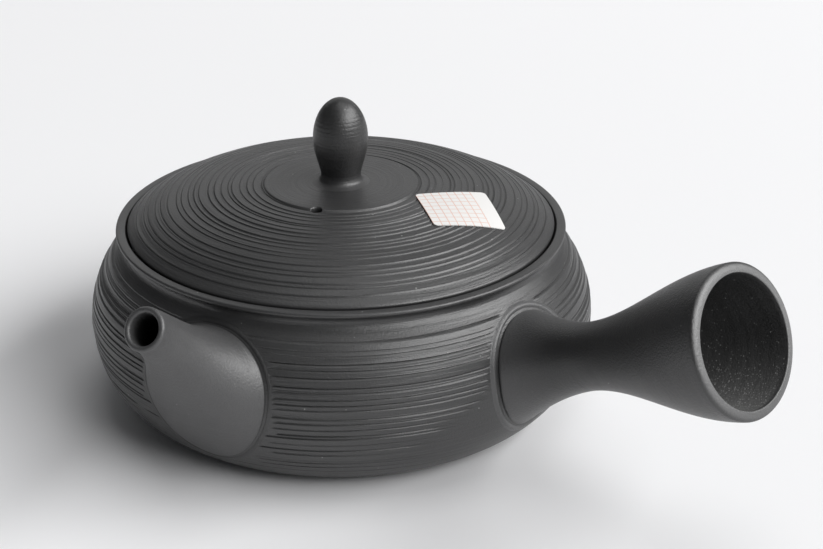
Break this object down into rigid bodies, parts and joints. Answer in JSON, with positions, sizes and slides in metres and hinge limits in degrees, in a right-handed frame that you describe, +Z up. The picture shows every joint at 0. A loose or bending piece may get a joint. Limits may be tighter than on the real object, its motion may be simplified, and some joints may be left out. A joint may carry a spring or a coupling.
{
  "type": "side-handled teapot",
  "caption": "Low round teapot in unglazed dark clay with comb-turned lines, a luted spout over an inner strainer, a hollow flared side handle and an inset lift-off lid with a knob.",
  "frame": {"origin": "middle of the flat foot on the table, on the pot's axis", "axes": "+Z up along the pot's axis, +X along the handle, the spout on the -Y side"},
  "size_m": [0.1802, 0.1377, 0.0736],
  "materials": {
    "clay": "matte unglazed, smoke-fired dark grey",
    "smooth_clay": "satin, burnished smooth",
    "paper": "matte, printed with a faint grid"
  },
  "bodies": {
    "pot": {"pot_body": "clay", "spout": "smooth_clay", "strainer": "clay", "handle": "clay"},
    "lid": {"lid": "clay", "knob": "clay", "paper_label": "paper"}
  },
  "joints": [
    {"name": "lid_lift", "type": "slide", "parent": "pot", "child": "lid", "axis": [0, 0, 1], "range_m": [0, 0.08]}
  ]
}
